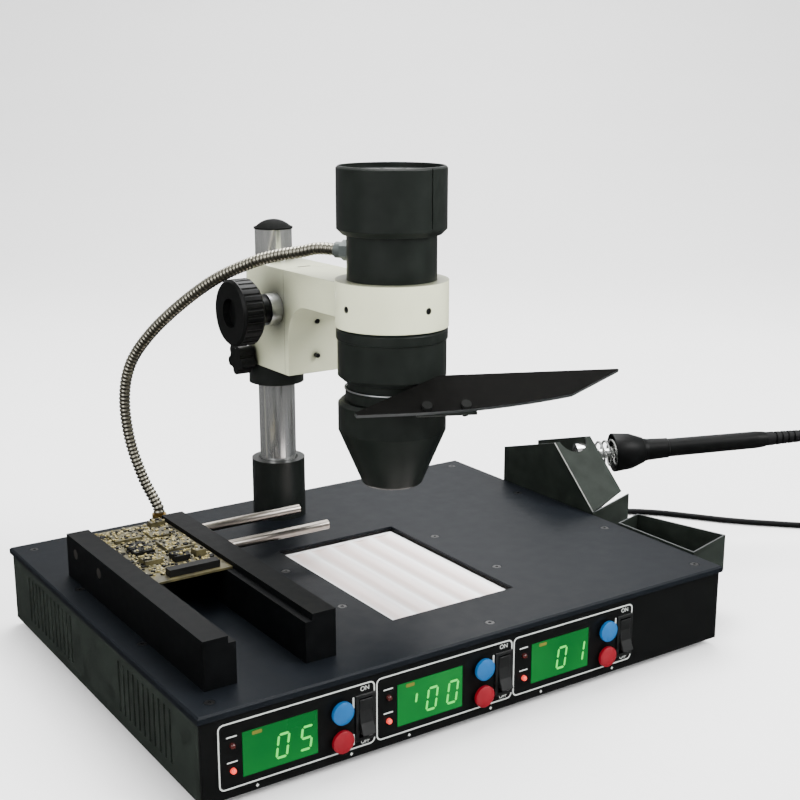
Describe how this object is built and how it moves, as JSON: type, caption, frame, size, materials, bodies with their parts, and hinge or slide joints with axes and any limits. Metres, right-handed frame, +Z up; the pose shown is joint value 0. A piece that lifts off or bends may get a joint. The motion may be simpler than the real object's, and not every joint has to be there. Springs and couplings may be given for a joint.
{
  "type": "infrared rework station",
  "caption": "Benchtop infrared rework station with a heated base, a pole and focusing arm that carries an infrared lamp, a sliding board holder, a soldering iron and a tool tray.",
  "frame": {"origin": "under the middle of the object, on the surface that its feet stand on", "axes": "+X along the front to the right, +Y to the back, +Z up"},
  "size_m": [0.843, 0.3753, 0.388],
  "materials": {
    "black_sheet": "textured black powder coat",
    "panel_black": "satin black with white print",
    "rubber": "matte black rubber",
    "dark_screw": "blackened steel",
    "bright_steel": "bare bright steel",
    "white_ceramic": "white glazed emitter",
    "display_green": "dark green display window",
    "lamp_red": "red indicator",
    "cap_blue": "blue moulded cap",
    "cap_red": "red moulded cap",
    "black_plastic": "black moulded plastic",
    "circuit_green": "solder mask",
    "copper_winding": "varnished copper",
    "nickel": "bright plating",
    "cream_paint": "cream gloss paint",
    "lamp_black": "black gloss enamel",
    "bulb_mirror": "silvered reflector bulb",
    "visor_grey": "smoked plate",
    "conduit_steel": "ribbed flexible conduit",
    "brass": "brass gland",
    "black_anodised": "black anodised aluminium",
    "board_mask": "circuit board with parts",
    "cord_rubber": "black rubber cord"
  },
  "bodies": {
    "station": {"case_tub": "black_sheet", "top_plate": "black_sheet", "front_panel": "panel_black", "rubber_feet": "rubber", "cover_screws": "dark_screw", "heater_tray": "bright_steel", "heater_plate": "white_ceramic", "displays": "display_green", "indicator_lamps": "lamp_red", "rocker_frames": "black_plastic", "control_board": "circuit_green", "transformer": "copper_winding", "mains_inlet": "black_plastic", "iron_socket": "bright_steel", "pole_base": "lamp_black", "pole": "nickel", "pole_cap": "black_plastic", "conduit": "conduit_steel", "conduit_nut_base": "brass", "iron_stand": "black_sheet", "tool_tray": "black_sheet", "spring_rest": "nickel", "cord_run": "cord_rubber", "cord_coil": "cord_rubber", "cord_rise": "cord_rubber"},
    "collar": {"clamp_collar": "lamp_black"},
    "collar_knob": {"collar_knob": "black_plastic"},
    "arm": {"focus_block": "cream_paint"},
    "block_knob": {"block_knob": "black_plastic"},
    "focus_knobs": {"focus_shaft": "bright_steel", "focus_knob_left": "black_plastic", "focus_knob_right": "black_plastic"},
    "lamp": {"ring_arm": "cream_paint", "focus_rack": "bright_steel", "arm_screws": "dark_screw", "lamp_barrel": "lamp_black", "lamp_tube": "lamp_black", "lamp_body": "lamp_black", "nozzle": "lamp_black", "infrared_bulb": "bulb_mirror", "conduit_nut_lamp": "bright_steel"},
    "visor": {"visor": "visor_grey", "visor_clamp": "lamp_black", "visor_bolts": "dark_screw"},
    "holder": {"fixed_jaw": "black_anodised", "guide_rods": "nickel"},
    "jaw": {"sliding_jaw": "black_anodised"},
    "board": {"work_board": "board_mask"},
    "iron": {"iron_handle": "black_plastic", "iron_shaft": "nickel", "strain_relief": "rubber"},
    "raise_button_1": {"raise_button_1": "cap_blue"},
    "lower_button_1": {"lower_button_1": "cap_red"},
    "rocker_1": {"rocker_1": "black_plastic"},
    "raise_button_2": {"raise_button_2": "cap_blue"},
    "lower_button_2": {"lower_button_2": "cap_red"},
    "rocker_2": {"rocker_2": "black_plastic"},
    "raise_button_3": {"raise_button_3": "cap_blue"},
    "lower_button_3": {"lower_button_3": "cap_red"},
    "rocker_3": {"rocker_3": "black_plastic"}
  },
  "joints": [
    {"name": "raise_button_1_press", "type": "slide", "parent": "station", "child": "raise_button_1", "axis": [0, 1, 0], "range_m": [0, 0.002], "stiffness_N_per_m": 400},
    {"name": "lower_button_1_press", "type": "slide", "parent": "station", "child": "lower_button_1", "axis": [0, 1, 0], "range_m": [0, 0.002], "stiffness_N_per_m": 400},
    {"name": "rocker_1_tilt", "type": "hinge", "parent": "station", "child": "rocker_1", "pos_m": [-0.23495, -0.178, 0.0335], "axis": [1, 0, 0], "range_deg": [0, 20]},
    {"name": "raise_button_2_press", "type": "slide", "parent": "station", "child": "raise_button_2", "axis": [0, 1, 0], "range_m": [0, 0.002], "stiffness_N_per_m": 400},
    {"name": "lower_button_2_press", "type": "slide", "parent": "station", "child": "lower_button_2", "axis": [0, 1, 0], "range_m": [0, 0.002], "stiffness_N_per_m": 400},
    {"name": "rocker_2_tilt", "type": "hinge", "parent": "station", "child": "rocker_2", "pos_m": [-0.11696, -0.178, 0.0335], "axis": [1, 0, 0], "range_deg": [0, 20]},
    {"name": "raise_button_3_press", "type": "slide", "parent": "station", "child": "raise_button_3", "axis": [0, 1, 0], "range_m": [0, 0.002], "stiffness_N_per_m": 400},
    {"name": "lower_button_3_press", "type": "slide", "parent": "station", "child": "lower_button_3", "axis": [0, 1, 0], "range_m": [0, 0.002], "stiffness_N_per_m": 400},
    {"name": "rocker_3_tilt", "type": "hinge", "parent": "station", "child": "rocker_3", "pos_m": [0.00104, -0.178, 0.0335], "axis": [1, 0, 0], "range_deg": [0, 20]},
    {"name": "collar_slide", "type": "slide", "parent": "station", "child": "collar", "axis": [0, 0, 1], "range_m": [-0.015, 0.02], "deforming": ["conduit"]},
    {"name": "collar_knob_turn", "type": "hinge", "parent": "collar", "child": "collar_knob", "pos_m": [-0.12546, 0.175, 0.2], "axis": [0, 1, 0], "range_deg": [0, 270]},
    {"name": "arm_swing", "type": "hinge", "parent": "collar", "child": "arm", "pos_m": [-0.12546, 0.135, 0.206], "axis": [0, 0, 1], "range_deg": [-30, 30], "deforming": ["conduit"]},
    {"name": "block_knob_turn", "type": "hinge", "parent": "arm", "child": "block_knob", "pos_m": [-0.16595, 0.135, 0.2145], "axis": [-1, 0, 0], "range_deg": [0, 270]},
    {"name": "focus_slide", "type": "slide", "parent": "arm", "child": "lamp", "axis": [0, 0, 1], "range_m": [-0.012, 0.012], "deforming": ["conduit"]},
    {"name": "focus_knob_turn", "type": "hinge", "parent": "arm", "child": "focus_knobs", "pos_m": [-0.12546, 0.0889, 0.264], "axis": [-1, 0, 0], "range_deg": [-124, 124]},
    {"name": "visor_swing", "type": "hinge", "parent": "lamp", "child": "visor", "pos_m": [-0.12546, -0.0495, 0.216], "axis": [0, 0, 1], "range_deg": [-40, 40]},
    {"name": "holder_slide", "type": "slide", "parent": "station", "child": "holder", "axis": [1, 0, 0], "range_m": [0, 0.12]},
    {"name": "jaw_slide", "type": "slide", "parent": "holder", "child": "jaw", "axis": [1, 0, 0], "range_m": [0, 0.095]},
    {"name": "board_lift", "type": "slide", "parent": "holder", "child": "board", "axis": [0, 0, 1], "range_m": [0, 0.006]},
    {"name": "iron_slide", "type": "slide", "parent": "station", "child": "iron", "axis": [0.8953, -0.4425, 0.0523], "range_m": [0, 0.07], "deforming": ["cord_rise"]}
  ],
  "couplings": [
    {"joint": "focus_knob_turn", "follows": "focus_slide", "rad_per_m": 178.57}
  ]
}
